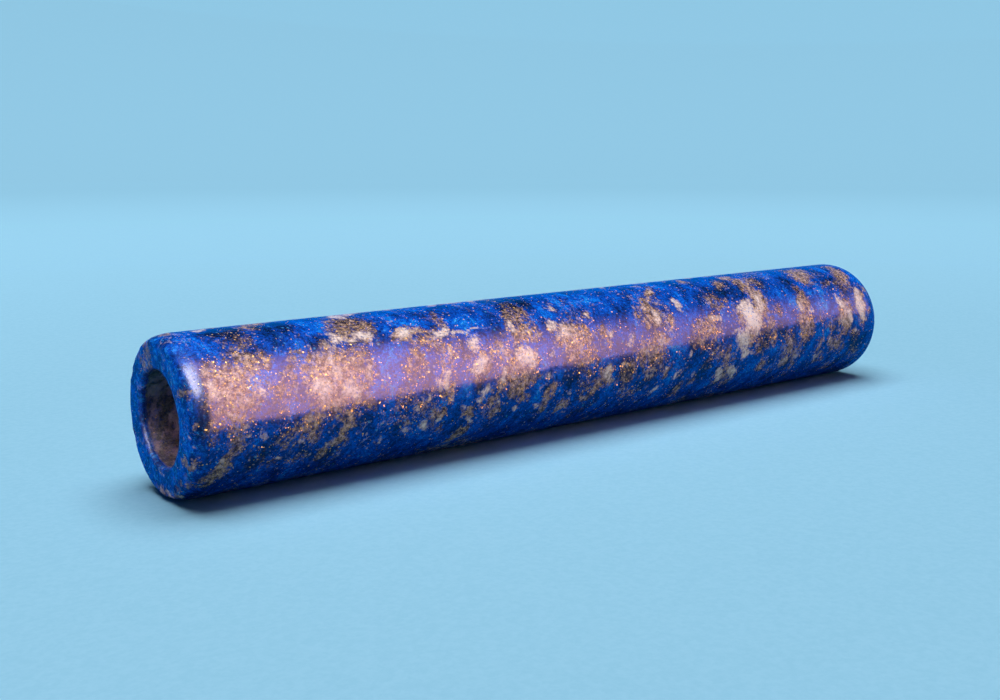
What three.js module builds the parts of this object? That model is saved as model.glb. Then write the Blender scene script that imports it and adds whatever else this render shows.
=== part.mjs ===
// Guitar slide: a thick-walled tube turned, core-drilled and polished from one
// piece of lapis lazuli. Millimetres, +Z up. The tube lies on its side with its
// axis along X and the origin on the axis, half way along.

import * as THREE from 'three';

// ---- driving dimensions (mm) ----
const LENGTH = 182;            // end face to end face
const OUTER_DIAMETER = 28;
const BORE_DIAMETER = 16.4;    // takes a ring or little finger
const FRONT_EDGE_AXIAL = 4.0;  // rounding of the outer edge at the -X end, along the axis
const FRONT_EDGE_RADIAL = 1.5; // the same, measured across the radius
const BACK_EDGE_AXIAL = 5.2;   // rounding of the outer edge at the +X end
const BACK_EDGE_RADIAL = 3.8;
const MOUTH_CHAMFER_RADIAL = 0.4; // eased edge of the bore at both mouths
const MOUTH_CHAMFER_AXIAL = 0.9;

// ---- faceting ----
const SEGMENTS = 48;           // around the axis, a multiple of 4
const EDGE_STEPS = 6;          // along each rounded edge
const SPANS = 4;               // along the straight wall

// The flats of the faceted walls, not their corners, lie on the true round surface.
const TO_CORNER = 1 / Math.cos(Math.PI / SEGMENTS);
const R = (OUTER_DIAMETER / 2) * TO_CORNER;
const r = (BORE_DIAMETER / 2) * TO_CORNER;
const H = LENGTH / 2;

// Closed wall section, as (radius, distance along the axis). It is laid out up the
// bore, out over the +X face, back down the outside and in over the -X face, then
// reversed, which is the sense that turns into a solid with outward faces.
function wallSection() {
  const pts = [];
  const add = (radius, along) => pts.push(new THREE.Vector2(radius, along));

  // bore wall with its two eased mouths
  add(r + MOUTH_CHAMFER_RADIAL, -H);
  for (let i = 0; i <= SPANS; i++) {
    const t = i / SPANS;
    add(r, -H + MOUTH_CHAMFER_AXIAL + t * (LENGTH - 2 * MOUTH_CHAMFER_AXIAL));
  }
  add(r + MOUTH_CHAMFER_RADIAL, H);

  // rounded outer edge at the +X end, quarter ellipse
  for (let i = 0; i <= EDGE_STEPS; i++) {
    const a = (Math.PI / 2) * (i / EDGE_STEPS);
    add(R - BACK_EDGE_RADIAL * (1 - Math.sin(a)), H - BACK_EDGE_AXIAL * (1 - Math.cos(a)));
  }

  // outer wall between the two rounded edges
  const top = H - BACK_EDGE_AXIAL;
  const bottom = -H + FRONT_EDGE_AXIAL;
  for (let i = 1; i < SPANS; i++) add(R, top + (bottom - top) * (i / SPANS));

  // rounded outer edge at the -X end
  for (let i = EDGE_STEPS; i >= 0; i--) {
    const a = (Math.PI / 2) * (i / EDGE_STEPS);
    add(R - FRONT_EDGE_RADIAL * (1 - Math.sin(a)), -H + FRONT_EDGE_AXIAL * (1 - Math.cos(a)));
  }

  // back to the start across the flat -X face
  pts.push(pts[0].clone());
  return pts.reverse();
}

function slideTube() {
  // The lathe turns about Y; half a facet of phase puts a flat, not a corner, at the bottom.
  const geometry = new THREE.LatheGeometry(wallSection(), SEGMENTS, Math.PI / SEGMENTS);
  geometry.rotateZ(-Math.PI / 2); // lathe axis +Y becomes +X
  const material = new THREE.MeshStandardMaterial({
    color: new THREE.Color(0.07, 0.16, 0.5),
    roughness: 0.22,
    metalness: 0.0,
  });
  const mesh = new THREE.Mesh(geometry, material);
  mesh.name = 'slide_tube';
  return mesh;
}

const guitarSlide = new THREE.Group();
guitarSlide.name = 'guitar_slide';
guitarSlide.add(slideTube());

export default guitarSlide;
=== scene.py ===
import math

import bpy
import numpy as np
from mathutils import Matrix, Vector


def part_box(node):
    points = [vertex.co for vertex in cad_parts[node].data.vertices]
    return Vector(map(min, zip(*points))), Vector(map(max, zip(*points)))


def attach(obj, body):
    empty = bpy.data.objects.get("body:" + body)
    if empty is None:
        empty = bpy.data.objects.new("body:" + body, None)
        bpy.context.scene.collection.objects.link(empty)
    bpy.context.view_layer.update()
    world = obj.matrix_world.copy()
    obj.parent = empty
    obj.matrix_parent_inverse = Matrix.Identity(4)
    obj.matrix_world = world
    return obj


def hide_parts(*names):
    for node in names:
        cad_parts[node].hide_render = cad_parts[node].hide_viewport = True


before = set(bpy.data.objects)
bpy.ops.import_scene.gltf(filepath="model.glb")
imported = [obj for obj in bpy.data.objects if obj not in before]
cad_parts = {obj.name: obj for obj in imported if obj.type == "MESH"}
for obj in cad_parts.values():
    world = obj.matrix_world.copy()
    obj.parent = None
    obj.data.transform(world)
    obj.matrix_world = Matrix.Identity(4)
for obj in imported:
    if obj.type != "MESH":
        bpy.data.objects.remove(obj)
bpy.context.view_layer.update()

node_lo, node_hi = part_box("slide_tube")

MM = 0.001
HALF = (node_hi.x - node_lo.x) / 2 / MM       # half length of the tube
ROUT = (node_hi.z - node_lo.z) / 2 / MM       # outer radius of the CAD solid's flats
FLOOR_Z = node_lo.z

# section of the tube, mm, as the CAD solid has it
R_VIS = ROUT - 0.02     # the polished wall, just inside the CAD box
R_BORE = 8.2
FRONT_AX, FRONT_RAD = 4.0, 1.5
BACK_AX, BACK_RAD = 5.2, 3.8
MOUTH_RAD, MOUTH_AX = 0.4, 0.9

# ------------------------------------------------------------------ camera
cam_data = bpy.data.cameras.new("camera")
cam = bpy.data.objects.new("camera", cam_data)
bpy.context.scene.collection.objects.link(cam)
cam_data.sensor_width = 36.0
cam_data.lens = 41.4
YAW, PITCH = math.radians(38.005), math.radians(10.281)
look = Vector((math.sin(YAW) * math.cos(PITCH), math.cos(YAW) * math.cos(PITCH), -math.sin(PITCH)))
cam.location = Vector((-159.978, -179.592, 44.898)) * MM
cam.rotation_mode = "QUATERNION"
cam.rotation_quaternion = look.to_track_quat("-Z", "Y")
cam_data.clip_start, cam_data.clip_end = 0.005, 30.0
cam_data.dof.use_dof = False
bpy.context.scene.camera = cam


# ------------------------------------------------------------------ seeded value noise on arrays
def lattice(ix, iy, iz, seed):
    h = (ix * 374761393 + iy * 668265263 + iz * 2147483647 + seed * 1274126177) & 0xFFFFFFFF
    h = ((h ^ (h >> 13)) * 1274126177) & 0xFFFFFFFF
    h = ((h ^ (h >> 16)) * 2246822519) & 0xFFFFFFFF
    return ((h ^ (h >> 15)) & 0xFFFFFF) / float(0xFFFFFF)


def vnoise(p, freq, seed):
    q = np.asarray(p, float) * freq + 1000.0
    i = np.floor(q).astype(np.int64)
    f = q - i
    f = f * f * (3 - 2 * f)
    out = 0.0
    for dx in (0, 1):
        wx = f[:, 0] if dx else 1 - f[:, 0]
        for dy in (0, 1):
            wy = f[:, 1] if dy else 1 - f[:, 1]
            for dz in (0, 1):
                wz = f[:, 2] if dz else 1 - f[:, 2]
                out = out + wx * wy * wz * lattice(i[:, 0] + dx, i[:, 1] + dy, i[:, 2] + dz, seed)
    return out * 2 - 1


def fbm(p, freq, octaves, seed, gain=0.5):
    s, a, t = 0.0, 1.0, 0.0
    for k in range(octaves):
        s = s + a * vnoise(p, freq * 2**k, seed + 17 * k)
        t += a
        a *= gain
    return s / t


# ------------------------------------------------------------------ the tube's mesh
NU = 256


def section():
    """Rows of the closed section: (x, radius, zone of the strip that follows the row), mm."""
    rows = []
    x0, x1 = -HALF + FRONT_AX, HALF - BACK_AX
    n = 250
    for k in range(n):
        rows.append((x0 + (x1 - x0) * k / n, R_VIS, 0))
    n = 14
    for k in range(n):
        a = math.pi / 2 * (1 - k / n)
        rows.append((HALF - BACK_AX * (1 - math.cos(a)), R_VIS - BACK_RAD * (1 - math.sin(a)), 1))
    flat_out, flat_in = R_VIS - BACK_RAD, R_BORE + MOUTH_RAD
    n = 6
    for k in range(n):
        rows.append((HALF, flat_out + (flat_in - flat_out) * k / n, 2))
    n = 5
    for k in range(n):
        a = math.pi / 2 * k / n
        rows.append((HALF - MOUTH_AX * (1 - math.cos(a)), flat_in - MOUTH_RAD * math.sin(a), 3))
    b0, b1 = HALF - MOUTH_AX, -HALF + MOUTH_AX
    n = 60
    for k in range(n):
        t = k / n
        t = t - math.sin(2 * math.pi * t) / (2 * math.pi) * 0.8   # closer rows near both mouths
        rows.append((b0 + (b1 - b0) * t, R_BORE, 4))
    n = 5
    for k in range(n):
        a = math.pi / 2 * (1 - k / n)
        rows.append((-HALF + MOUTH_AX * (1 - math.cos(a)), flat_in - MOUTH_RAD * math.sin(a), 5))
    flat_out = R_VIS - FRONT_RAD
    n = 10
    for k in range(n):
        rows.append((-HALF, flat_in + (flat_out - flat_in) * k / n, 6))
    n = 14
    for k in range(n):
        a = math.pi / 2 * k / n
        rows.append((-HALF + FRONT_AX * (1 - math.cos(a)), flat_out + FRONT_RAD * math.sin(a), 7))
    return rows


rows = section()
NR = len(rows)
X = np.repeat(np.array([r[0] for r in rows]), NU)
RAD = np.repeat(np.array([r[1] for r in rows]), NU)
ZONE = np.repeat(np.array([r[2] for r in rows]), NU)
ANG = np.tile(np.arange(NU) * 2 * math.pi / NU - math.pi / 2, NR)  # 0 faces -Y, pi/2 is the top, the seam is underneath


def place(x, r, ang):
    return np.stack([x, -r * np.cos(ang), r * np.sin(ang)], 1)


P0 = place(X, RAD, ANG)

# outward normal of the undamaged section, from its neighbours
sec = np.array([(r[0], r[1]) for r in rows])
tan = np.roll(sec, -1, 0) - np.roll(sec, 1, 0)
nrm = np.stack([-tan[:, 1], tan[:, 0]], 1)
nrm /= np.linalg.norm(nrm, axis=1)[:, None] + 1e-12
NX, NRAD = np.repeat(nrm[:, 0], NU), np.repeat(nrm[:, 1], NU)

outer = ((ZONE == 0) | (ZONE == 1) | (ZONE == 7)).astype(float)
inner = (ZONE == 4).astype(float)

# hand-ground waviness, always a little below the nominal surface
cut = outer * 0.045 * (0.5 + 0.5 * fbm(P0, 1 / 17.0, 2, 3)) + outer * 0.018 * (0.5 + 0.5 * fbm(P0, 1 / 4.0, 2, 5))
cut = cut + inner * 0.10 * (0.5 + 0.5 * fbm(P0, 1 / 5.0, 3, 9))

# uneven, slightly nibbled edges at both ends
edge_front = np.exp(-(((X + HALF) / 1.1) ** 2)) * np.exp(-(((RAD - (R_VIS - FRONT_RAD)) / 0.9) ** 2))
edge_back = np.exp(-(((X - HALF) / 1.1) ** 2)) * np.exp(-(((RAD - (R_VIS - BACK_RAD)) / 0.9) ** 2))
mouth = np.exp(-(((np.abs(X) - HALF) / 1.0) ** 2)) * np.exp(-(((RAD - (R_BORE + MOUTH_RAD * 0.6)) / 0.55) ** 2))
nib = np.clip(fbm(P0, 1 / 1.6, 3, 21) - 0.05, 0, 1)
cut = cut + (edge_front + edge_back) * (0.12 * nib + 0.26 * np.clip(fbm(P0, 1 / 5.0, 2, 23) + 0.15, 0, 1))
cut = cut + mouth * (0.16 * nib + 0.12 * np.clip(fbm(P0, 1 / 3.5, 2, 27) + 0.1, 0, 1))

# chips: (x, angle in degrees, radius, half sizes along x / around / across, depth), mm
CHIPS = [
    (-HALF, 128, 12.4, 0.9, 1.8, 0.9, 0.24),
    (-HALF, 108, 12.6, 0.8, 0.9, 0.8, 0.28),
    (-HALF + 0.3, 152, 12.7, 0.8, 1.5, 0.8, 0.20),
    (-HALF, 84, 12.5, 0.6, 0.7, 0.6, 0.22),
    (-HALF, 205, 12.3, 0.8, 1.6, 0.8, 0.32),
    (-HALF, -38, 12.4, 0.8, 1.0, 0.8, 0.25),
    (-HALF, -78, 12.6, 1.0, 2.2, 0.9, 0.45),
    (-HALF, -102, 12.3, 0.9, 1.3, 0.8, 0.35),
    (-HALF, -58, 12.5, 0.8, 1.2, 0.8, 0.30),
    (-HALF, 150, 8.6, 0.5, 0.9, 0.4, 0.16),
    (-HALF, 222, 8.6, 0.5, 0.7, 0.4, 0.18),
    (-HALF, 12, 8.6, 0.4, 0.6, 0.4, 0.12),
    (-80.5, 96, 13.98, 2.0, 0.6, 0.5, 0.10),
    (HALF, 40, 10.3, 0.9, 1.4, 0.9, 0.35),
    (HALF, 200, 10.2, 0.8, 1.0, 0.8, 0.30),
    (HALF, 300, 8.8, 0.8, 1.2, 0.6, 0.35),
    (HALF - 1.5, 160, 12.6, 0.9, 0.8, 0.8, 0.22),
    (-30.0, 150, 13.98, 1.0, 0.8, 0.6, 0.16),
    (48.0, 190, 13.98, 1.2, 0.9, 0.6, 0.18),
    (12.0, 222, 13.98, 0.9, 0.7, 0.6, 0.14),
    (-62.0, 176, 13.98, 0.9, 0.7, 0.6, 0.14),
]
chip_mask = np.zeros(len(X))
ragged = 0.35 * fbm(P0, 1 / 0.9, 3, 41)
for cx, cdeg, cr, sx, sa, sr, depth in CHIPS:
    da = (ANG - math.radians(cdeg) + math.pi) % (2 * math.pi) - math.pi
    q = np.sqrt(((X - cx) / sx) ** 2 + (RAD * da / sa) ** 2 + ((RAD - cr) / sr) ** 2) + ragged
    w = np.clip(1.15 - q, 0, 1)
    w = w * w * (3 - 2 * w)
    cut = cut + depth * w
    chip_mask = np.maximum(chip_mask, w)

# small pits in the polished wall, at random places along and round it
rng = np.random.default_rng(20)
pit_mask = np.zeros(len(X))
grid_x = np.array([r[0] for r in rows])
for k in range(260):
    px, pa = rng.uniform(-HALF + 2, HALF - 3), rng.uniform(-math.pi, math.pi)
    size, depth = rng.uniform(0.35, 0.85), rng.uniform(0.03, 0.10)
    i0 = np.nonzero(np.abs(grid_x[:250] - px) < size * 1.6)[0]
    if not len(i0):
        continue
    idx = (i0[:, None] * NU + np.arange(NU)[None, :]).ravel()
    da = (ANG[idx] - pa + math.pi) % (2 * math.pi) - math.pi
    q = np.hypot((X[idx] - px) / (size * rng.uniform(0.8, 1.5)), R_VIS * da / size)
    w = np.clip(1 - q, 0, 1)
    w = w * w * (3 - 2 * w)
    cut[idx] += depth * w
    pit_mask[idx] = np.maximum(pit_mask[idx], w)

XX = X - NX * cut
RR = RAD - NRAD * cut
V = place(XX, RR, ANG) * MM

# ------------------------------------------------------------------ where the stone's patches lie
# (x mm along the axis, degrees round it with 0 to the front and 90 on top, half width mm along x,
#  half width mm around, slant in degrees, strength)
TAN = [
    (-84.0, 24, 4.6, 6.2, 5, 1.0), (-79.2, 44, 2.3, 3.0, 5, 0.85), (-76.8, 41, 1.5, 2.3, 30, 0.75), (-79.5, 69, 3.4, 3.8, 30, 0.52),
    (-77.4, 60, 2.0, 1.7, 20, 0.72), (-74.2, 85, 1.4, 4.2, 35, 0.95), (-74.5, 17, 4.2, 3.6, 10, 0.50), (-87.5, 5, 1.6, 3.4, 10, 0.60),
    (-83.5, -11, 1.8, 3.4, 33, 0.85), (-85.2, -26, 1.4, 4.4, 33, 1.05), (-87.5, -38, 1.3, 3.0, 33, 0.80),
    (-65.2, 24, 5.2, 6.2, 10, 1.0), (-58.8, 31, 2.4, 5.0, 15, 0.80), (-57.6, 66, 4.4, 5.2, 20, 0.98), (-71.5, 36, 2.6, 4.0, 15, 0.42),
    (-69.6, -7, 1.7, 3.4, 20, 0.90), (-63.8, -12, 1.1, 4.8, 33, 1.10), (-66.8, -29, 0.9, 3.0, 33, 0.90), (-61.0, 6, 2.2, 2.0, 20, 0.75),
    (-52.5, 5, 3.6, 2.4, 20, 0.58), (-53.0, -14, 3.0, 2.6, 30, 0.42), (-49.5, 22, 2.2, 2.6, 10, 0.60), (-47.0, 30, 2.0, 3.0, 10, 0.72),
    (-48.0, 50, 3.3, 1.9, -20, 0.95), (-56.5, -30, 1.2, 1.4, 30, 0.50), (-72.0, -36, 2.0, 1.4, -30, 0.45),
    (-43.5, 43, 2.6, 1.7, -30, 0.85), (-41.0, 26, 3.0, 4.4, 15, 0.72), (-39.7, 58, 1.7, 3.8, 15, 0.68), (-42.5, 3, 2.7, 2.8, 20, 0.80),
    (-43.0, -28, 2.2, 1.7, 30, 0.58), (-35.0, 25, 3.4, 4.4, 10, 0.52), (-35.2, 17, 2.7, 2.1, 0, 0.90), (-29.4, 4, 1.7, 3.0, 20, 0.82),
    (-25.4, 4, 4.0, 4.4, 20, 0.80), (-25.0, -12, 2.0, 2.6, 20, 0.66), (-31.5, -8, 2.0, 2.4, 20, 0.55), (-22.0, 56, 3.8, 4.4, 15, 0.66),
    (-22.4, 40, 3.4, 3.0, 10, 0.88), (-28.0, 24, 3.0, 3.0, 15, 0.68), (-23.0, 17, 2.5, 2.5, 0, 0.90), (-18.5, -17, 1.3, 3.8, 25, 1.05),
    (-8.3, -23, 1.2, 1.0, -30, 0.80), (-10.0, 28, 4.4, 4.0, 15, 0.80), (-12.0, 14, 3.4, 1.8, 40, 0.66), (-7.0, 12, 3.0, 2.0, 0, 0.64),
    (-15.5, 40, 1.2, 1.8, 10, 0.66), (-5.0, 47, 1.6, 1.2, 30, 0.55), (-3.0, -3, 1.9, 2.5, 10, 1.0), (-2.0, 25, 2.6, 3.0, 10, 0.60),
    (4.2, 22, 1.6, 2.6, -20, 0.62), (10.0, 5, 4.4, 4.0, 15, 0.88), (3.0, -3, 2.6, 3.4, 15, 0.75), (12.5, 17, 2.6, 2.3, 20, 0.85),
    (9.5, -12, 2.3, 1.7, -30, 0.75), (13.5, -8, 1.4, 2.4, 25, 0.75), (13.6, 40, 1.8, 2.6, 10, 0.95), (12.2, 51, 0.9, 2.6, 35, 0.85),
    (16.2, 68, 1.0, 3.6, 38, 0.90), (9.5, 38, 3.0, 2.4, 40, 0.55), (17.0, 31, 1.0, 2.2, 35, 0.55), (3.0, -26, 2.6, 2.0, 30, 0.42),
    (27.0, 20, 4.2, 3.8, 5, 1.0), (25.0, 8, 4.0, 2.4, 10, 0.75), (30.0, 29, 2.4, 1.6, -30, 0.75), (29.0, 0, 3.0, 3.0, 20, 0.66),
    (33.0, -8, 3.4, 3.4, 30, 0.66), (33.5, -22, 3.2, 3.6, 30, 0.66), (37.0, -32, 1.8, 3.0, 30, 0.50), (34.0, 45, 4.0, 2.4, 30, 0.52),
    (38.5, 68, 2.3, 1.6, -35, 0.90), (44.0, 78, 2.6, 1.5, -40, 0.80), (30.5, 82, 1.4, 1.7, 30, 0.80), (39.0, 28, 3.4, 3.0, 10, 0.66),
    (42.5, 18, 4.0, 4.4, 0, 0.85), (44.2, -3, 2.6, 2.8, 10, 0.68), (26.0, -9, 2.0, 2.0, 20, 0.50), (22.5, 15, 1.8, 2.4, 10, 0.50),
    (46.6, 38, 2.7, 6.0, 15, 1.0), (47.0, 64, 3.3, 3.6, 30, 0.85), (50.5, 68, 2.8, 3.0, 30, 0.60), (48.0, 12, 2.5, 3.0, 10, 0.72),
    (52.0, 30, 2.5, 3.0, 10, 0.60), (54.5, -5, 2.4, 2.6, 10, 0.55), (54.3, -24, 1.4, 1.6, 0, 0.80), (48.0, 0, 2.0, 2.0, 0, 0.55),
    (62.2, 35, 2.7, 3.6, 15, 1.0), (61.5, 12, 2.6, 3.4, 10, 1.0), (62.6, 47, 1.9, 2.2, 30, 0.88), (67.5, 67, 3.5, 4.2, 25, 0.85),
    (70.0, 79, 3.0, 2.2, 30, 0.66), (66.5, 14, 3.0, 2.2, 10, 0.44), (70.5, 6, 1.6, 1.6, 0, 0.58),
    (76.4, 12, 2.6, 5.6, 12, 1.0), (72.5, -12, 3.6, 2.3, 30, 0.88), (68.5, -27, 2.5, 2.6, 40, 0.58), (72.5, -40, 3.0, 1.6, -30, 0.48),
    (80.5, -7, 2.1, 2.3, 0, 0.78), (81.0, -25, 2.2, 2.6, -10, 0.48), (75.6, -19, 2.0, 2.0, 20, 0.66), (83.0, 22, 2.4, 5.0, 5, 0.95),
    (82.6, 62, 2.5, 5.4, 15, 0.80), (79.0, 46, 3.0, 1.8, -45, 0.60), (86.6, 34, 1.4, 3.0, 0, 0.64), (74.5, 50, 2.4, 1.2, -20, 0.50),
    (86.0, 12, 1.2, 1.3, 0, 0.55),
    (-89.9, 8, 0.5, 0.8, 0, 1.05), (-90.6, 32, 0.9, 1.6, 0, 0.95), (-90.2, -24, 0.8, 1.8, 20, 1.10), (-90.0, -44, 0.9, 2.2, 10, 1.05),
    (-90.4, -70, 0.9, 2.4, 0, 1.00), (-89.5, 92, 0.8, 1.6, 20, 0.85), (-90.6, -86, 0.8, 2.4, 0, 1.00), (-90.8, -58, 0.6, 1.6, 0, 0.85),
    (-14.0, -28, 1.0, 2.8, 28, 0.80), (-38.0, -40, 1.0, 2.6, 30, 0.72), (20.0, -36, 1.2, 3.0, 26, 0.72), (58.0, -34, 1.2, 3.0, 24, 0.66),
    (-31.0, -20, 0.9, 2.4, 28, 0.75), (-44.5, -14, 1.2, 2.2, 28, 0.85), (-37.5, -18, 1.0, 1.8, 28, 0.85), (46.0, -20, 1.3, 2.8, 26, 0.75),
    (66.0, -12, 1.2, 2.4, 24, 0.75), (24.0, -26, 1.0, 2.2, 26, 0.70), (-6.0, -12, 1.1, 2.0, 28, 0.80),
    (-82.0, -9, 3.4, 3.0, 20, 0.44), (-79.0, -22, 3.0, 3.2, 30, 0.42), (-73.5, -12, 3.6, 3.0, 25, 0.38), (-47.0, -10, 3.0, 2.6, 25, 0.44),
    (-33.5, -14, 3.0, 2.6, 25, 0.44), (-9.0, -8, 3.2, 2.6, 25, 0.40), (18.0, -14, 3.0, 2.8, 25, 0.40), (58.0, -14, 3.0, 3.0, 25, 0.40),
]
CREAM = [
    (-90.9, 33, 0.5, 1.3, 0, 0.95), (-90.3, -62, 0.6, 1.0, 0, 0.85), (-90.8, -2, 0.5, 0.7, 0, 0.70), (-90.7, -80, 0.5, 1.2, 0, 0.90), (-90.5, -92, 0.4, 0.8, 0, 0.80),
    (-41.5, -3, 0.9, 0.8, 30, 0.80), (-38.2, -13, 0.8, 0.7, 30, 0.80), (-33.4, -2, 0.8, 0.9, 30, 0.85), (-30.2, -12, 0.8, 0.7, 30, 0.75),
    (-44.2, -20, 0.8, 0.8, 30, 0.75), (-26.4, -22, 0.9, 0.7, 30, 0.72), (-49.0, -9, 0.7, 0.7, 30, 0.75), (-36.8, -26, 0.9, 0.7, 30, 0.80),
    (-21.0, -26, 0.8, 0.6, 30, 0.70), (-71.5, -20, 0.9, 0.6, 30, 0.70), (-75.5, -28, 1.1, 0.6, 30, 0.72), (-78.5, -8, 0.7, 0.6, 30, 0.70),
    (-12.5, -15, 0.8, 0.7, 30, 0.72), (23.5, -19, 0.8, 0.7, 30, 0.72), (58.5, -17, 0.9, 0.8, 30, 0.72), (66.0, -24, 1.0, 0.7, 30, 0.70),
    (-83.4, 93, 0.9, 1.8, 30, 1.1), (-78.5, 23, 0.9, 1.7, 10, 0.72), (-82.0, 17, 1.8, 1.4, 0, 0.45), (-86.5, 26, 1.0, 2.0, 10, 0.45),
    (-81.0, -4, 0.6, 1.0, 33, 0.62), (-84.6, -35, 0.6, 0.9, 20, 0.55), (-85.4, -24, 0.5, 2.4, 33, 0.45),
    (-67.8, 18, 2.1, 1.6, 0, 0.85), (-62.3, 14, 1.7, 1.3, 30, 0.85), (-64.2, 42, 1.7, 0.8, -30, 0.75), (-64.6, 28, 1.7, 2.2, 10, 0.55),
    (-62.0, 55, 2.1, 1.6, -30, 0.88), (-56.5, 54, 1.9, 1.1, -15, 1.05), (-59.6, 50.5, 3.0, 0.45, -10, 0.70), (-58.5, 24, 1.0, 1.8, 10, 0.45),
    (-51.0, -24, 1.0, 0.6, -30, 0.90), (-46.8, -22, 1.0, 0.9, 30, 0.92), (-48.0, 51, 1.9, 1.4, -30, 1.08), (-56.6, -13, 0.8, 0.6, 0, 0.60),
    (-56.3, -27, 0.8, 0.5, 0, 0.55), (-57.0, 91, 1.6, 2.4, 33, 0.85), (-53.5, 94, 0.9, 2.0, 33, 0.90), (-46.0, 97, 2.2, 1.4, 33, 0.85), (-31.0, 98, 3.0, 1.2, 20, 0.80), (-46.5, 1, 1.0, 0.9, 20, 0.62),
    (-41.2, 46, 2.3, 0.8, -10, 0.98), (-39.2, 49, 0.8, 1.2, 20, 0.85), (-34.8, 47.5, 4.2, 0.30, -3, 1.0), (-35.0, 36, 1.9, 1.8, 0, 0.80),
    (-35.3, 17.5, 2.2, 1.7, 0, 1.05), (-29.6, 5.5, 1.0, 2.0, 15, 0.90), (-23.2, 18, 1.6, 2.1, -20, 1.05), (-24.0, 47, 0.9, 1.5, 20, 0.80),
    (-14.7, 45, 0.9, 1.8, 10, 1.0), (-12.2, 35, 1.6, 1.1, -20, 0.85), (-18.8, 5, 1.0, 0.9, 0, 0.82), (-19.5, -4, 0.45, 1.4, 30, 0.92),
    (-20.6, -9, 0.4, 0.9, 30, 0.78), (-17.0, 18, 0.45, 2.3, 30, 0.66), (-35.0, -7, 1.1, 0.6, -30, 0.80), (-38.5, -7, 0.5, 0.7, 0, 0.62),
    (-31.7, -31, 1.3, 0.9, 0, 0.82), (-2.6, -2, 1.3, 1.9, 0, 0.90), (-8.3, -23, 1.0, 0.6, -30, 0.78), (-11.3, 44, 0.5, 0.7, 0, 0.68),
    (-0.5, 25, 0.7, 1.1, 0, 0.74), (-5.0, 47, 0.6, 0.6, 0, 0.70), (-43.7, 8, 1.3, 1.2, 20, 0.75), (-42.3, 17, 0.8, 1.4, 10, 0.62),
    (-12.2, 61, 0.8, 0.5, 0, 0.66), (-26.5, 94, 1.2, 2.2, 33, 0.85), (-36.0, 93, 1.4, 2.2, 33, 0.90), (-40.5, 33, 0.9, 1.2, 10, 0.55),
    (4.1, 22, 0.6, 1.8, -25, 0.85), (13.6, 39, 1.2, 1.9, 5, 1.0), (12.6, 17, 1.3, 1.2, 30, 0.55), (21.4, 49, 1.0, 2.3, 22, 1.15),
    (32.2, 29.5, 1.3, 0.8, -10, 0.90), (30.2, 31, 0.8, 0.6, 0, 0.72), (42.5, 25, 2.8, 3.0, 0, 1.35), (42.0, 38, 2.6, 1.2, -20, 0.95),
    (38.4, 6, 2.3, 2.6, 10, 1.2), (39.4, -6, 1.5, 2.2, -30, 1.1), (36.4, 14, 1.9, 0.7, -20, 0.85), (41.9, -8, 0.9, 0.6, 0, 0.72),
    (28.3, -1, 0.4, 1.0, 0, 0.85), (20.5, 2, 0.6, 0.8, 30, 0.66), (32.0, -25, 1.0, 2.0, -30, 0.85), (36.0, -23, 1.2, 2.6, -10, 0.90),
    (12.3, -30, 1.6, 0.9, -30, 0.66), (17.3, -20, 0.6, 1.2, 30, 0.68), (9.5, -13, 1.7, 0.9, -50, 0.66), (8.8, 51, 0.9, 0.4, 0, 0.62),
    (8.5, 92, 0.9, 1.6, 35, 0.88), (20.0, 97, 1.6, 1.3, 30, 0.80), (36.0, 96, 1.4, 1.4, 30, 0.72), (16.0, 84, 0.8, 0.8, 30, 0.60), (1.8, 2, 0.8, 0.8, 0, 0.62), (14.2, -5, 0.6, 1.0, 20, 0.60),
    (46.4, 36, 1.2, 3.6, 15, 0.66), (64.0, 26, 1.3, 0.9, -30, 0.90), (61.3, 31, 1.2, 1.3, 30, 0.62), (75.7, 29, 1.2, 2.0, 0, 0.95),
    (77.7, 11, 1.4, 1.8, -20, 1.0), (74.3, 7, 1.2, 2.4, 10, 0.62), (82.8, 20, 1.6, 2.3, -15, 1.1), (83.3, 33, 1.2, 1.8, 0, 0.82),
    (84.0, 10, 1.0, 1.0, 0, 0.85), (81.0, -3, 1.0, 1.3, 20, 0.75), (54.5, -3, 0.8, 0.9, 0, 0.70), (54.3, -24, 1.0, 1.1, 0, 0.50),
    (69.5, -6, 1.4, 0.8, -30, 0.60), (51.5, 33, 0.9, 0.3, 0, 0.60), (87.0, 28, 0.6, 1.2, 0, 0.60),
]
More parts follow.
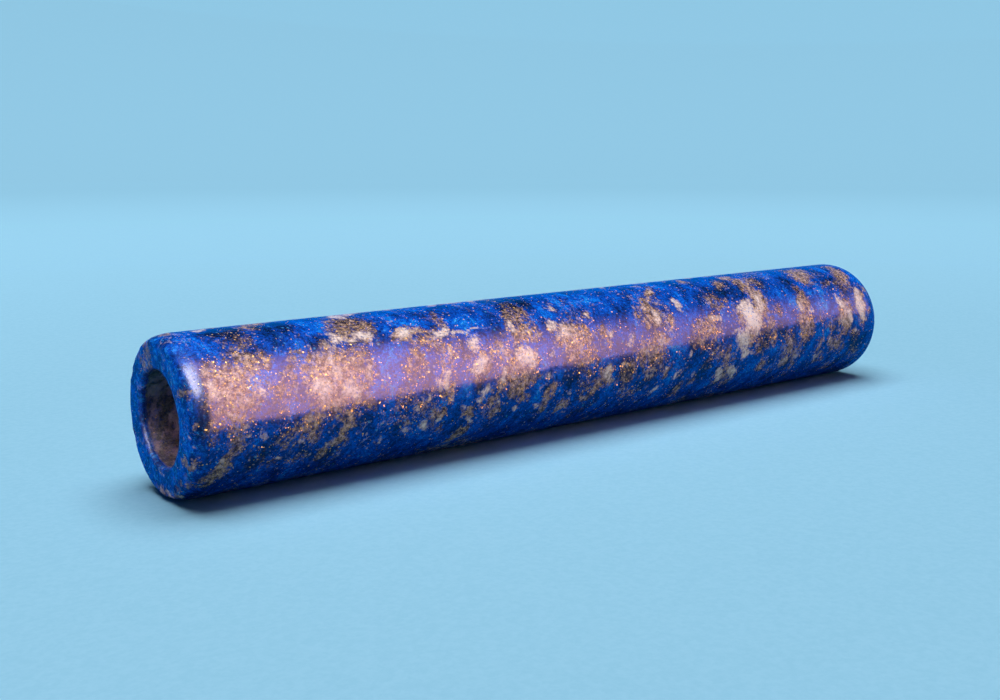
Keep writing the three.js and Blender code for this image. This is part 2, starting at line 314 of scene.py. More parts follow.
AZURE = [
    (-88.0, 64, 3.0, 4.6, 10, 0.9), (-64.5, 70, 3.0, 3.0, 30, 1.0), (-48.0, 68, 4.0, 2.5, 40, 0.9), (-33.5, 57, 4.2, 2.2, -30, 1.0),
    (-41.5, 61, 2.0, 1.6, -30, 0.7), (-15.0, 57, 2.2, 1.6, 0, 0.8), (-5.0, 64, 5.0, 3.0, 20, 0.7), (1.0, 62, 3.2, 2.6, 30, 0.95),
    (21.0, 66, 4.0, 4.0, 30, 0.5), (19.5, 25, 2.8, 4.2, 10, 0.95), (18.0, 8, 3.0, 3.6, 10, 0.95), (-38.5, 2, 3.0, 2.0, 0, 1.0),
    (-36.0, -6, 2.8, 1.6, 0, 0.8), (-21.0, -5, 1.4, 5.0, 25, 0.85), (-16.0, -13, 1.5, 1.0, 0, 0.8), (53.0, 47, 3.0, 2.0, 0, 0.8),
    (58.0, 30, 2.4, 4.2, 10, 0.7), (70.0, 30, 4.2, 2.6, 0, 0.95), (69.0, 43, 4.4, 1.6, -5, 0.95), (66.0, 4, 3.2, 2.0, 0, 0.9),
    (87.0, 0, 2.0, 4.4, 0, 0.9), (-53.0, 28, 2.2, 5.0, 10, 0.85), (-76.4, 30, 1.1, 3.6, 15, 0.8), (-56.0, -4, 2.0, 1.4, 0, 0.6),
    (-49.0, -20, 2.2, 1.5, 0, 0.75), (-71.0, 50, 4.0, 1.6, -30, 0.6), (32.5, -3, 1.8, 1.8, 0, 0.5), (61.5, 58, 2.6, 4.0, 20, 0.3),
    (57.0, 62, 3.0, 4.0, 20, 0.4), (-28.0, 76, 5.0, 3.0, 30, 0.4),
]
DARK = [
    (-57.0, 72, 4.0, 3.4, 20, 0.8), (-80.0, 76, 4.6, 2.6, 30, 0.8), (-71.5, 76, 3.4, 3.0, 30, 1.0), (-19.5, 75, 4.2, 3.4, 20, 1.0), (-24.0, 66, 3.0, 2.0, 20, 0.5),
    (-40.5, 70, 2.6, 2.4, 20, 0.5), (2.0, -5, 2.0, 3.2, 0, 0.7), (35.0, 56, 4.0, 2.8, 30, 0.7), (42.5, 60, 3.0, 3.0, 40, 0.8),
    (53.5, 62, 3.0, 3.0, 30, 0.5), (73.0, 50, 3.0, 1.6, -20, 0.7), (78.0, 38, 2.0, 2.0, 20, 0.5), (81.5, -17, 3.6, 3.0, 0, 0.8),
    (22.5, 2, 2.4, 2.6, 20, 0.7), (25.5, -14, 4.0, 3.0, 30, 0.6), (-88.8, 12, 0.8, 4.0, 0, 0.9), (-58.5, -14, 3.0, 3.0, 30, 0.6),
    (-80.0, -22, 2.4, 4.0, 33, 0.5), (-12.0, -2, 4.0, 3.4, 20, 0.6), (61.5, 52, 2.0, 3.0, 25, 0.5), (-66.0, 52, 3.0, 1.2, -20, 0.5),
    (45.5, 3, 2.0, 2.4, 0, 0.6), (53.0, 3, 2.4, 2.4, 0, 0.4), (-34.8, 5, 2.0, 1.6, 0, 0.6), (8.0, -20, 4.0, 2.0, 0, 0.4),
]


# the patches' outlines wander, as grown mineral does
wander_x = 1.5 * fbm(P0, 1 / 3.6, 3, 61) + 0.5 * fbm(P0, 1 / 1.3, 1, 67)
wander_w = 1.5 * fbm(P0, 1 / 3.6, 3, 71) + 0.5 * fbm(P0, 1 / 1.3, 1, 77)


def field(blobs, depth_scale=4.5):
    out = np.zeros(len(X))
    for cx, cdeg, sx, sa, slant, s in blobs:
        da = (ANG - math.radians(cdeg) + math.pi) % (2 * math.pi) - math.pi
        w = R_VIS * da + wander_w
        dx = X - cx + wander_x
        c, sn = math.cos(math.radians(slant)), math.sin(math.radians(slant))
        # the long side leans towards +X going up
        u = dx * c - w * sn
        v = dx * sn + w * c
        q = (u / sx) ** 2 + (v / sa) ** 2 + ((R_VIS - RAD) / depth_scale) ** 2
        out = np.maximum(out, s * np.exp(-0.8 * q**1.5))
    return out


# on the side that the placed patches cover, the random ones are held back
mid = (ANG - math.radians(18) + math.pi) % (2 * math.pi) - math.pi
front = np.clip((math.radians(86) - np.abs(mid)) / math.radians(22), 0, 1)
front = front * front * (3 - 2 * front) * np.clip(1 - (R_VIS - RAD) / 4.0, 0, 1)
# lower down the stone's own streaks show more
low = np.clip((math.radians(-6) - ((ANG + math.pi) % (2 * math.pi) - math.pi)) / math.radians(20), 0, 1) * np.clip((X + 50) / 12, 0, 1)
front = front * (1 - 0.28 * low)
f_tan, f_cream, f_azure, f_dark = field(TAN), field(CREAM, 2.5), field(AZURE), field(DARK)
# the near end's face and rim are nearly pure blue
blue_end = np.exp(-(((X + HALF) / 2.0) ** 2)) * (ZONE != 4)

# ------------------------------------------------------------------ faces and UVs
quads = np.empty((NR * NU, 4), np.int64)
i = np.repeat(np.arange(NR), NU)
j = np.tile(np.arange(NU), NR)
i2, j2 = (i + 1) % NR, (j + 1) % NU
quads[:, 0], quads[:, 1], quads[:, 2], quads[:, 3] = i * NU + j, i * NU + j2, i2 * NU + j2, i2 * NU + j

seg = np.linalg.norm(np.roll(sec, -1, 0) - sec, axis=1)
zone_row = np.array([r[2] for r in rows])
CHART = {}
for name, zones, box in (
    ("wall", (7, 0, 1), (0.004, 0.366, 0.996, 0.996)),
    ("bore", (4,), (0.004, 0.130, 0.996, 0.358)),
    ("near", (5, 6), (0.004, 0.004, 0.496, 0.122)),
    ("far", (2, 3), (0.504, 0.004, 0.996, 0.122)),
):
    ids = [k for z in zones for k in range(NR) if zone_row[k] == z]
    start = np.concatenate([[0], np.cumsum(seg[ids])])
    for n_, k in enumerate(ids):
        CHART[k] = (name, start[n_] / start[-1], start[n_ + 1] / start[-1], box)

uv = np.empty((NR * NU, 4, 2))
for k in range(NR):
    name, s0, s1, (u0, v0, u1, v1) = CHART[k]
    a0, a1 = np.arange(NU) / NU, (np.arange(NU) + 1) / NU
    sl = slice(k * NU, (k + 1) * NU)
    if name in ("wall", "bore"):
        along = lambda s: u0 + (u1 - u0) * s
        around = lambda a: v0 + (v1 - v0) * a
        uv[sl, 0] = np.stack([np.full(NU, along(s0)), around(a0)], 1)
        uv[sl, 1] = np.stack([np.full(NU, along(s0)), around(a1)], 1)
        uv[sl, 2] = np.stack([np.full(NU, along(s1)), around(a1)], 1)
        uv[sl, 3] = np.stack([np.full(NU, along(s1)), around(a0)], 1)
    else:
        along = lambda s: v0 + (v1 - v0) * s
        around = lambda a: u0 + (u1 - u0) * a
        uv[sl, 0] = np.stack([around(a0), np.full(NU, along(s0))], 1)
        uv[sl, 1] = np.stack([around(a1), np.full(NU, along(s0))], 1)
        uv[sl, 2] = np.stack([around(a1), np.full(NU, along(s1))], 1)
        uv[sl, 3] = np.stack([around(a0), np.full(NU, along(s1))], 1)

# outward faces: the signed volume must be positive
a, b, c, d = (V[quads[:, k]] for k in range(4))
vol = (np.einsum("ij,ij->i", a, np.cross(b, c)) + np.einsum("ij,ij->i", a, np.cross(c, d))).sum() / 6
if vol < 0:
    quads = quads[:, ::-1]
    uv = uv[:, ::-1]

mesh = bpy.data.meshes.new("lapis_tube")
mesh.vertices.add(len(V))
mesh.vertices.foreach_set("co", V.ravel())
mesh.loops.add(quads.size)
mesh.loops.foreach_set("vertex_index", quads.ravel())
mesh.polygons.add(len(quads))
mesh.polygons.foreach_set("loop_start", np.arange(0, quads.size, 4))
mesh.polygons.foreach_set("use_smooth", np.ones(len(quads), bool))
uvl = mesh.uv_layers.new(name="OFBake")
uvl.data.foreach_set("uv", uv.reshape(-1))
for name, values in (
    ("tan", f_tan), ("cream", f_cream), ("azure", f_azure), ("dark", f_dark), ("held", front), ("blue_end", blue_end),
    ("chip", np.clip(chip_mask + 0.6 * pit_mask + 0.45 * mouth, 0, 1)), ("bore", np.clip((R_VIS - RAD) / 5.0, 0, 1) * (ZONE == 4)),
):
    at = mesh.attributes.new(name, "FLOAT", "POINT")
    at.data.foreach_set("value", values.astype(np.float32))
mesh.update(calc_edges=True)
mesh.validate()
tube = bpy.data.objects.new("lapis_tube", mesh)
bpy.context.scene.collection.objects.link(tube)


# ------------------------------------------------------------------ node helpers
class Nodes:
    def __init__(self, tree):
        self.t = tree
        self.n = tree.nodes
        self.l = tree.links

    def new(self, kind, **props):
        node = self.n.new(kind)
        for k, v in props.items():
            setattr(node, k, v)
        return node

    def put(self, sock, value):
        if isinstance(value, bpy.types.NodeSocket):
            self.l.new(value, sock)
        elif value is not None:
            if sock.type == "RGBA" and not isinstance(value, (int, float)) and len(value) == 3:
                value = (*value, 1.0)
            sock.default_value = value

    def math(self, op, a, b=None, c=None, clamp=False):
        node = self.new("ShaderNodeMath", operation=op, use_clamp=clamp)
        for s, v in zip(node.inputs, (a, b, c)):
            self.put(s, v)
        return node.outputs[0]

    def vec(self, op, a, b=None, c=None):
        node = self.new("ShaderNodeVectorMath", operation=op)
        self.put(node.inputs[0], a)
        if b is not None:
            self.put(node.inputs["Scale"] if op == "SCALE" else node.inputs[1], b)
        if c is not None:
            self.put(node.inputs[2], c)
        return node.outputs["Value"] if op in ("DOT_PRODUCT", "LENGTH", "DISTANCE") else node.outputs["Vector"]

    def xyz(self, x, y, z):
        node = self.new("ShaderNodeCombineXYZ")
        for s, v in zip(node.inputs, (x, y, z)):
            self.put(s, v)
        return node.outputs[0]

    def noise(self, v, scale, detail=3.0, rough=0.5, distort=0.0, color=False):
        node = self.new("ShaderNodeTexNoise")
        self.put(node.inputs["Vector"], v)
        node.inputs["Scale"].default_value = scale
        node.inputs["Detail"].default_value = detail
        node.inputs["Roughness"].default_value = rough
        node.inputs["Distortion"].default_value = distort
        return node.outputs["Color" if color else "Fac"]

    def voronoi(self, v, scale, feature="F1", rand=1.0):
        node = self.new("ShaderNodeTexVoronoi", feature=feature)
        self.put(node.inputs["Vector"], v)
        node.inputs["Scale"].default_value = scale
        node.inputs["Randomness"].default_value = rand
        return node

    def smooth(self, x, lo, hi):
        node = self.new("ShaderNodeMapRange", interpolation_type="SMOOTHSTEP")
        self.put(node.inputs["Value"], x)
        self.put(node.inputs["From Min"], lo)
        self.put(node.inputs["From Max"], hi)
        return node.outputs["Result"]

    def remap(self, x, lo, hi, a, b):
        node = self.new("ShaderNodeMapRange")
        self.put(node.inputs["Value"], x)
        for k, v in (("From Min", lo), ("From Max", hi), ("To Min", a), ("To Max", b)):
            self.put(node.inputs[k], v)
        return node.outputs["Result"]

    def mix(self, fac, a, b, blend="MIX"):
        node = self.new("ShaderNodeMix", data_type="RGBA", blend_type=blend)
        self.put(node.inputs[0], fac)
        self.put(node.inputs[6], a)
        self.put(node.inputs[7], b)
        return node.outputs[2]

    def ramp(self, fac, stops, interp="LINEAR"):
        node = self.new("ShaderNodeValToRGB")
        cr = node.color_ramp
        cr.interpolation = interp
        while len(cr.elements) < len(stops):
            cr.elements.new(0.5)
        for e, (p, col) in zip(cr.elements, stops):
            e.position = p
            e.color = (*col, 1.0)
        self.put(node.inputs[0], fac)
        return node.outputs[0]

    def attr(self, name):
        return self.new("ShaderNodeAttribute", attribute_name=name, attribute_type="GEOMETRY").outputs["Fac"]


# ------------------------------------------------------------------ the stone
def stone_material():
    mat = bpy.data.materials.new("lapis_stone")
    mat.use_nodes = True
    g = Nodes(mat.node_tree)
    g.n.clear()
    out = g.new("ShaderNodeOutputMaterial")
    bsdf = g.new("ShaderNodeBsdfPrincipled")
    g.l.new(bsdf.outputs[0], out.inputs[0])

    coord = g.new("ShaderNodeTexCoord").outputs["Object"]
    p = g.vec("SCALE", coord, 1000.0)  # millimetres

    # the layers of the stone: a skewed frame whose first axis crosses the layers
    n = Vector((1.0, 0.5, -0.8)).normalized()
    a = n.cross(Vector((0, 1, 0))).normalized()
    b = n.cross(a)
    lay = g.xyz(g.vec("DOT_PRODUCT", p, tuple(n)), g.vec("DOT_PRODUCT", p, tuple(a)), g.vec("DOT_PRODUCT", p, tuple(b)))
    lay = g.vec("MULTIPLY", lay, (1.0, 0.5, 0.5))
    warp_big = g.vec("SUBTRACT", g.noise(lay, 0.13, 2.0, 0.5, color=True), (0.5, 0.5, 0.5))
    warp_fine = g.vec("SUBTRACT", g.noise(p, 0.9, 3.0, 0.6, color=True), (0.5, 0.5, 0.5))
    w = g.vec("ADD", lay, g.vec("ADD", g.vec("SCALE", warp_big, 6.0), g.vec("SCALE", warp_fine, 1.3)))
    pw = g.vec("ADD", p, g.vec("SCALE", warp_fine, 0.9))

    held, blue_end = g.attr("held"), g.attr("blue_end")
    f_tan, f_cream, f_azure, f_dark = g.attr("tan"), g.attr("cream"), g.attr("azure"), g.attr("dark")
    chip, bore = g.attr("chip"), g.attr("bore")

    # blue ground: clouds, crystal grain, dark and bright specks
    cloud = g.noise(w, 0.40, 5.0, 0.6)
    grain = g.noise(pw, 1.7, 4.0, 0.65)
    fine = g.noise(p, 3.9, 2.0, 0.6)
    tone = g.math("ADD", g.math("MULTIPLY", cloud, 0.55), g.math("MULTIPLY", grain, 0.45))
    tone = g.math("ADD", tone, g.math("MULTIPLY", f_azure, 0.080))
    tone = g.math("ADD", tone, g.math("MULTIPLY", blue_end, 0.010))
    tone = g.math("SUBTRACT", tone, g.math("MULTIPLY", f_dark, 0.12))
    blue = g.ramp(tone, [
        (0.34, (0.0005, 0.008, 0.045)),
        (0.42, (0.0005, 0.025, 0.160)),
        (0.50, (0.0006, 0.060, 0.420)),
        (0.565, (0.0010, 0.110, 0.700)),
        (0.635, (0.0030, 0.240, 0.860)),
        (0.73, (0.0800, 0.540, 0.940)),
    ])
    blue = g.mix(g.math("MULTIPLY", g.smooth(fine, 0.54, 0.66), 0.85), blue, (0.0005, 0.010, 0.050))
    blue = g.mix(g.math("MULTIPLY", g.math("SUBTRACT", 1.0, g.smooth(fine, 0.28, 0.38)), 0.45), blue, (0.010, 0.330, 0.800))

    # the near end's face is mottled with navy and scuffed with azure
    navy = g.smooth(g.noise(g.vec("ADD", pw, (9.0, 4.0, 2.0)), 0.42, 4.0, 0.6), 0.47, 0.60)
    blue = g.mix(g.math("MULTIPLY", g.math("MULTIPLY", navy, blue_end), 0.78), blue, (0.0005, 0.018, 0.130))
    scuff = g.smooth(g.noise(pw, 1.0, 6.0, 0.80, 0.6), 0.53, 0.61)
    blue = g.mix(g.math("MULTIPLY", g.math("MULTIPLY", scuff, blue_end), 0.72), blue, (0.030, 0.360, 0.900))

    # host rock: placed patches on the front, free ones elsewhere, broken up at their edges
    patch = g.math("SUBTRACT", g.noise(w, 0.155, 5.0, 0.55), 0.5)
    rag = g.math("ADD", g.math("MULTIPLY", g.noise(pw, 0.80, 5.0, 0.64), 0.45), g.math("MULTIPLY", g.noise(w, 0.95, 5.0, 0.64), 0.55))
    rag = g.math("MULTIPLY", g.math("SUBTRACT", rag, 0.5), 1.3)
    crumb = g.math("SUBTRACT", g.noise(pw, 2.1, 3.0, 0.6), 0.5)
    t = g.math("MULTIPLY", patch, g.remap(held, 0.0, 1.0, 3.0, 1.3))
    t = g.math("ADD", t, g.remap(held, 0.0, 1.0, 0.37, 0.10))
    t = g.math("ADD", t, f_tan)
    t = g.math("ADD", t, g.math("MULTIPLY", bore, 0.50))
    t = g.math("SUBTRACT", t, g.math("MULTIPLY", blue_end, 0.38))
    lump = g.math("ADD", g.math("MULTIPLY", rag, 2.3), g.math("MULTIPLY", crumb, 1.1))
    m_tan = g.smooth(g.math("ADD", t, lump), 0.33, 0.84)
    tan_tone = g.math("ADD", g.noise(pw, 1.2, 5.0, 0.66), g.math("MULTIPLY", g.math("SUBTRACT", t, 0.7), 0.12))
    tan_tone = g.math("SUBTRACT", tan_tone, g.math("MULTIPLY", f_dark, 0.12))
    tan_col = g.ramp(tan_tone, [
        (0.33, (0.012, 0.010, 0.016)),
        (0.42, (0.100, 0.064, 0.050)),
        (0.50, (0.300, 0.195, 0.135)),
        (0.58, (0.540, 0.365, 0.260)),
        (0.69, (0.820, 0.640, 0.520)),
    ])
    col = g.mix(m_tan, blue, tan_col)
    # grains of blue and of near black scattered through the host rock
    haze = g.smooth(g.noise(pw, 1.4, 4.0, 0.70), 0.47, 0.66)
    col = g.mix(g.math("MULTIPLY", haze, 0.55), col, blue)
    sand = g.smooth(g.noise(g.vec("ADD", p, (3.0, 11.0, 23.0)), 3.6, 3.0, 0.7), 0.40, 0.60)
    col = g.mix(g.math("MULTIPLY", m_tan, 0.45), col, g.mix(sand, g.vec("SCALE", col, 0.45), g.vec("SCALE", col, 1.22)))
    dark_grain = g.smooth(g.noise(g.vec("ADD", p, (31.0, 7.0, 3.0)), 2.6, 4.0, 0.65), 0.55, 0.65)
    col = g.mix(g.math("MULTIPLY", dark_grain, g.math("ADD", g.math("MULTIPLY", m_tan, 0.42), 0.42)), col, (0.006, 0.008, 0.022))

    # calcite
    c1 = g.math("SUBTRACT", g.noise(w, 0.36, 4.0, 0.55), 0.5)
    c = g.math("MULTIPLY", c1, g.remap(held, 0.0, 1.0, 2.6, 1.0))
    c = g.math("ADD", c, g.remap(held, 0.0, 1.0, 0.17, 0.02))
    c = g.math("ADD", c, f_cream)
    c = g.math("ADD", c, g.math("ADD", g.math("MULTIPLY", rag, 1.7), g.math("MULTIPLY", crumb, 0.7)))
    c = g.math("ADD", c, g.math("MULTIPLY", m_tan, 0.08))
    c = g.math("SUBTRACT", c, g.math("MULTIPLY", blue_end, 0.20))
    m_cream = g.smooth(c, 0.32, 0.92)
    cream_col = g.mix(g.smooth(g.noise(pw, 1.6, 4.0, 0.65), 0.36, 0.62), (0.46, 0.33, 0.27), (0.95, 0.80, 0.70))
    cream_col = g.mix(g.math("MULTIPLY", g.smooth(c, 0.85, 1.35), 0.75), cream_col, (1.0, 0.91, 0.83))
    col = g.mix(g.math("MULTIPLY", m_cream, 0.94), col, cream_col)
    crack = g.smooth(g.noise(g.vec("ADD", pw, (5.0, 17.0, 2.0)), 1.9, 4.0, 0.65), 0.54, 0.66)
    col = g.mix(g.math("MULTIPLY", g.math("MULTIPLY", crack, m_cream), 0.72), col, blue)

    # thin pale veins along the layers
    vn = g.noise(w, 0.30, 4.0, 0.55)
    vein = g.math("ABSOLUTE", g.math("SUBTRACT", vn, 0.5))
    vein = g.math("SUBTRACT", 1.0, g.smooth(vein, 0.002, 0.012))
    vein = g.math("MULTIPLY", vein, g.smooth(g.noise(w, 0.16, 2.0, 0.5), 0.54, 0.66))
    col = g.mix(g.math("MULTIPLY", vein, 0.50), col, (0.50, 0.46, 0.54))

    # small pale grains in the blue
    vg = g.voronoi(pw, 1.05)
    gr = g.new("ShaderNodeSeparateColor")
    g.put(gr.inputs[0], vg.outputs["Color"])
    pale = g.math("MULTIPLY", g.math("SUBTRACT", 1.0, g.smooth(vg.outputs["Distance"], 0.10, 0.34)), g.math("GREATER_THAN", gr.outputs[0], 0.79))
    pinkish = g.math("MAXIMUM", m_tan, g.math("GREATER_THAN", gr.outputs[2], 0.45))
    col = g.mix(g.math("MULTIPLY", pale, 0.62), col, g.mix(pinkish, (0.08, 0.40, 0.72), (0.56, 0.45, 0.47)))

    # pyrite: two sizes of grain, thickest in and round the host rock
    dens = g.math("ADD", g.math("MULTIPLY", g.smooth(t, 0.15, 0.65), 0.80), 0.12)
    dens = g.math("ADD", dens, g.math("MULTIPLY", g.math("SUBTRACT", g.noise(w, 0.34, 3.0, 0.6), 0.5), 1.0))
    dens = g.math("SUBTRACT", dens, g.math("MULTIPLY", m_cream, 0.45))
    dens = g.math("SUBTRACT", dens, g.math("MULTIPLY", blue_end, 0.12))
    jig = g.vec("SCALE", g.vec("SUBTRACT", g.noise(p, 5.5, 1.0, 0.5, color=True), (0.5, 0.5, 0.5)), 0.28)
    masks, facet = [], None
    for scale, reach, bias, shift in ((1.3, 0.225, 0.04, 0.0), (2.15, 0.225, 0.06, 0.37)):
        vp = g.voronoi(g.vec("ADD", g.vec("ADD", p, jig), (shift * 40, 3.1, 7.7)), scale)
        sp = g.new("ShaderNodeSeparateColor")
        g.put(sp.inputs[0], vp.outputs["Color"])
        size = g.math("MULTIPLY", g.math("ADD", g.math("MULTIPLY", sp.outputs[1], 0.5), 0.5), reach)
        near = g.math("SUBTRACT", 1.0, g.smooth(g.math("SUBTRACT", vp.outputs["Distance"], size), -0.05, 0.04))
        here = g.math("GREATER_THAN", g.math("ADD", dens, bias), sp.outputs[0])
        masks.append(g.math("MULTIPLY", near, here))
        tip = g.vec("SUBTRACT", vp.outputs["Color"], (0.5, 0.5, 0.5))
        facet = tip if facet is None else g.vec("ADD", facet, tip)
    pyr = g.math("MAXIMUM", masks[0], masks[1])
    gold = g.mix(g.noise(p, 3.0, 2.0, 0.5), (0.84, 0.42, 0.03), (1.0, 0.70, 0.15))
    col = g.mix(pyr, col, gold)

    # chipped and pitted places are dull, pale and bare
    col = g.mix(g.math("MULTIPLY", g.smooth(g.math("ADD", chip, g.math("MULTIPLY", crumb, 1.6)), 0.45, 0.95), 0.22), col, (0.34, 0.40, 0.58))
    # the bore wall is less polished and mottled pink-brown; the near-black in its mottling is painted shade of the bore
    bore_mottle_and_shade = g.smooth(g.noise(w, 0.42, 4.0, 0.6), 0.44, 0.62)
    col = g.mix(g.math("MULTIPLY", bore, 0.62), col, g.mix(bore_mottle_and_shade, (0.030, 0.024, 0.050), (0.580, 0.345, 0.440)))

    g.put(bsdf.inputs["Base Color"], col)
    g.put(bsdf.inputs["Metallic"], g.math("MULTIPLY", pyr, 0.28))
    rough = g.math("ADD", 0.16, g.math("MULTIPLY", m_tan, 0.07))
    rough = g.math("ADD", rough, g.math("MULTIPLY", g.math("SUBTRACT", grain, 0.5), 0.16))
    rough = g.math("ADD", rough, g.math("MULTIPLY", g.smooth(chip, 0.1, 0.6), 0.35))
    rough = g.math("ADD", rough, g.math("MULTIPLY", bore, 0.30))
    rough = g.math("ADD", rough, g.math("MULTIPLY", g.smooth(blue_end, 0.0, 0.4), 0.08))
    rough = g.math("ADD", rough, g.math("MULTIPLY", pyr, 0.20), clamp=True)
    g.put(bsdf.inputs["Roughness"], rough)
    bsdf.inputs["IOR"].default_value = 1.5
    bsdf.inputs["Specular IOR Level"].default_value = 0.45

    # relief: polish ripples, grain pluck-outs, grains standing a little proud
    h = g.math("MULTIPLY", g.noise(p, 0.55, 3.0, 0.5), 1.0)
    h = g.math("ADD", h, g.math("MULTIPLY", grain, 0.35))
    h = g.math("SUBTRACT", h, g.math("MULTIPLY", g.smooth(g.noise(p, 4.2, 3.0, 0.6), 0.60, 0.72), 0.40))
    h = g.math("ADD", h, g.math("MULTIPLY", pyr, 0.12))
    bump = g.new("ShaderNodeBump")
    bump.inputs["Strength"].default_value = 0.6
    bump.inputs["Distance"].default_value = 0.00006
    g.put(bump.inputs["Height"], h)
    # each grain of pyrite has a facet of its own, tipped a little from the surface
    tipped = g.vec("NORMALIZE", g.vec("ADD", bump.outputs[0], g.vec("SCALE", facet, g.math("MULTIPLY", pyr, 0.55))))
    g.put(bsdf.inputs["Normal"], tipped)
    return mat


mesh.materials.append(stone_material())
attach(tube, "root")
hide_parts("slide_tube")

# ------------------------------------------------------------------ floor: a flat disc that sweeps up into a low round wall
def stage_bowl():
    pts = [(0.0, 0.0)]
    flat, bend, top = 1.3, 0.9, 1.15
    for k in range(1, 12):
        pts.append((flat * k / 11, 0.0))
    for k in range(1, 25):
        a = math.pi / 2 * k / 24
        pts.append((flat + bend * math.sin(a), bend * (1 - math.cos(a))))
    pts.append((flat + bend, top))
    n = 128
    verts, faces = [(0, 0, FLOOR_Z)], []
    for r, z in pts[1:]:
        for k in range(n):
            a = 2 * math.pi * k / n
            verts.append((r * math.cos(a), r * math.sin(a), z + FLOOR_Z))
    for k in range(n):
        faces.append((0, 1 + k, 1 + (k + 1) % n))
    for s in range(len(pts) - 2):
        for k in range(n):
            a, b = 1 + s * n + k, 1 + s * n + (k + 1) % n
            faces.append((a, a + n, b + n, b))
    m = bpy.data.meshes.new("studio_floor")
    m.from_pydata(verts, [], faces)
    m.polygons.foreach_set("use_smooth", np.ones(len(faces), bool))
    o = bpy.data.objects.new("studio_floor", m)
    bpy.context.scene.collection.objects.link(o)
    mat = bpy.data.materials.new("paper")
    mat.use_nodes = True
    g = Nodes(mat.node_tree)
    bsdf = g.n["Principled BSDF"]
    coord = g.new("ShaderNodeTexCoord").outputs["Object"]
    fine = g.noise(coord, 900.0, 3.0, 0.6)
    paper = g.mix(g.remap(fine, 0.35, 0.65, 0.0, 1.0), FLOOR_A, FLOOR_B)
    # the stone sees the paper as the strong blue-green sheet of the photo, and gets little light back from it
    ray = g.new("ShaderNodeLightPath")
    paper = g.mix(ray.outputs["Is Glossy Ray"], paper, FLOOR_MIRRORED)
    paper = g.mix(ray.outputs["Is Diffuse Ray"], paper, FLOOR_BOUNCE)
    g.put(bsdf.inputs["Base Color"], paper)
    # the bank's light falls off with distance; the paper glows by as much as is missing
    flat = g.vec("LENGTH", g.vec("MULTIPLY", coord, (1.0 / 0.92, 1.0 / 0.92, 0.0)))
    lit = g.math("DIVIDE", 1.0, g.math("POWER", g.math("ADD", g.math("MULTIPLY", flat, flat), 1.0), 2.0))
    g.put(bsdf.inputs["Emission Color"], g.vec("MULTIPLY", paper, BANK))
    glow = g.math("MULTIPLY", g.math("SUBTRACT", 0.965, lit, clamp=True), WALL_GLOW)
    g.put(bsdf.inputs["Emission Strength"], g.math("MULTIPLY", glow, g.math("SUBTRACT", 1.0, ray.outputs["Is Diffuse Ray"])))
    bsdf.inputs["Roughness"].default_value = 0.9
    bsdf.inputs["Specular IOR Level"].default_value = 0.0
    bump = g.new("ShaderNodeBump")
    bump.inputs["Strength"].default_value = 0.12
    bump.inputs["Distance"].default_value = 0.0001
    g.put(bump.inputs["Height"], fine)
    g.put(bsdf.inputs["Normal"], bump.outputs[0])
    m.materials.append(mat)
    return o


BANK = (0.84, 0.875, 1.0)
FLOOR_A, FLOOR_B = (0.36, 0.70, 0.82), (0.39, 0.73, 0.85)
FLOOR_MIRRORED = (0.0, 0.21, 0.64)
FLOOR_BOUNCE = (0.003, 0.190, 0.235)
WALL_GLOW = 0.84
floor = stage_bowl()
FADE = (1, 0.28, 1.06, 0.14)


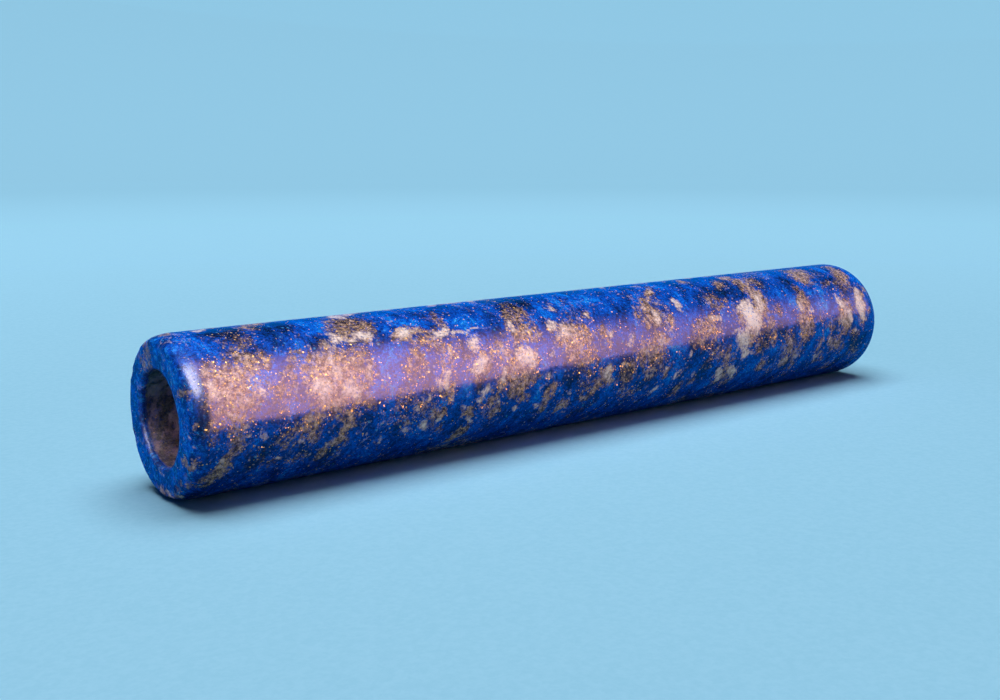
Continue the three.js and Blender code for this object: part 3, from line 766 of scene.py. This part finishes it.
# ------------------------------------------------------------------ lights
def area(name, centre, u, v, radiance, colour, diffuse=True, glossy=True, fade=None, lean=None):
    """A rectangle with half sides u and v (vectors, metres), emitting from the side that faces the tube."""
    centre, u, v = Vector(centre), Vector(u), Vector(v)
    v = v - u.normalized() * v.dot(u.normalized())
    data = bpy.data.lights.new(name, "AREA")
    data.shape = "RECTANGLE"
    data.size, data.size_y = 2 * u.length, 2 * v.length
    data.energy = radiance * math.pi * data.size * data.size_y
    data.color = colour
    if fade:  # dimmer towards +v
        data.use_nodes = True
        g = Nodes(data.node_tree)
        em = g.n["Emission"]
        par = g.new("ShaderNodeNewGeometry").outputs["Parametric"]
        sep = g.new("ShaderNodeSeparateXYZ")
        g.put(sep.inputs[0], par)
        at = sep.outputs[fade[0]]
        if lean:
            at = g.math("ADD", at, g.math("MULTIPLY", sep.outputs[lean[0]], 0.26))
        level = g.remap(g.smooth(at, fade[1], fade[2]), 0.0, 1.0, 1.0, fade[3])
        if lean:  # and dimmer along its length
            level = g.math("MULTIPLY", level, g.remap(g.smooth(sep.outputs[lean[0]], lean[1], lean[2]), 0.0, 1.0, 1.0, lean[3]))
        g.put(em.inputs["Strength"], level)
    o = bpy.data.objects.new(name, data)
    bpy.context.scene.collection.objects.link(o)
    x, y = u.normalized(), v.normalized()
    z = x.cross(y)
    if z.dot(-centre) > 0:  # the light shines along its own -Z
        x = -x
        z = -z
    o.matrix_world = Matrix((
        (x.x, y.x, z.x, centre.x), (x.y, y.y, z.y, centre.y), (x.z, y.z, z.z, centre.z), (0, 0, 0, 1)))
    o.visible_camera = False
    o.visible_diffuse = diffuse
    o.visible_glossy = glossy
    return o


# long softbox in front and to the right, seen as the band along the tube
area("softbox_front", (0.2020, -0.1160, 0.139), (0.2747, -0.0605, 0.0520), (0.0046, 0.0510, 0.1155),
     9.4, (1.0, 0.49, 0.56), diffuse=False, fade=FADE, lean=(0, 0.10, 0.52, 0.33))
# window overhead, a little forward, seen on the shoulder of the near end
area("window_top", (-0.150, -0.450, 0.600), (0.19, 0.0, 0.0), (0.0, 0.34, 0.0), 24.0, (0.96, 0.90, 1.0), diffuse=False, fade=(0, 0.40, 1.0, 0.25))
# overhead bank, which lights everything
area("bank_top", (-0.02, 0.06, 0.92), (0.46, 0.0, 0.0), (0.0, 0.40, 0.0), 4.5, BANK, glossy=False)
# two small fills that reach only the tube: warm from the front, neutral on the near end's face
only_tube = bpy.data.collections.new("only_tube")
only_tube.objects.link(tube)
fill = area("fill_front", (0.05, -0.72, 0.50), (0.25, 0.0, 0.0), (0.0, 0.10, 0.14), 5.6, (1.0, 0.75, 0.66), glossy=False)
fill.light_linking.receiver_collection = only_tube
fill = area("fill_left", (-0.95, -0.10, 0.30), (0.0, 0.30, 0.0), (0.06, 0.0, 0.22), 3.2, (0.96, 0.82, 1.0), glossy=False)
fill.light_linking.receiver_collection = only_tube

world = bpy.data.worlds.new("world")
world.use_nodes = True
bg = world.node_tree.nodes["Background"]
bg.inputs[0].default_value = (0.55, 0.80, 1.0, 1.0)
bg.inputs[1].default_value = 0.03
bpy.context.scene.world = world
bpy.context.scene.view_settings.view_transform = "Standard"
bpy.context.scene.view_settings.look = "None"
bpy.context.scene.view_settings.exposure = 0.0
bpy.context.scene.view_settings.gamma = 1.0
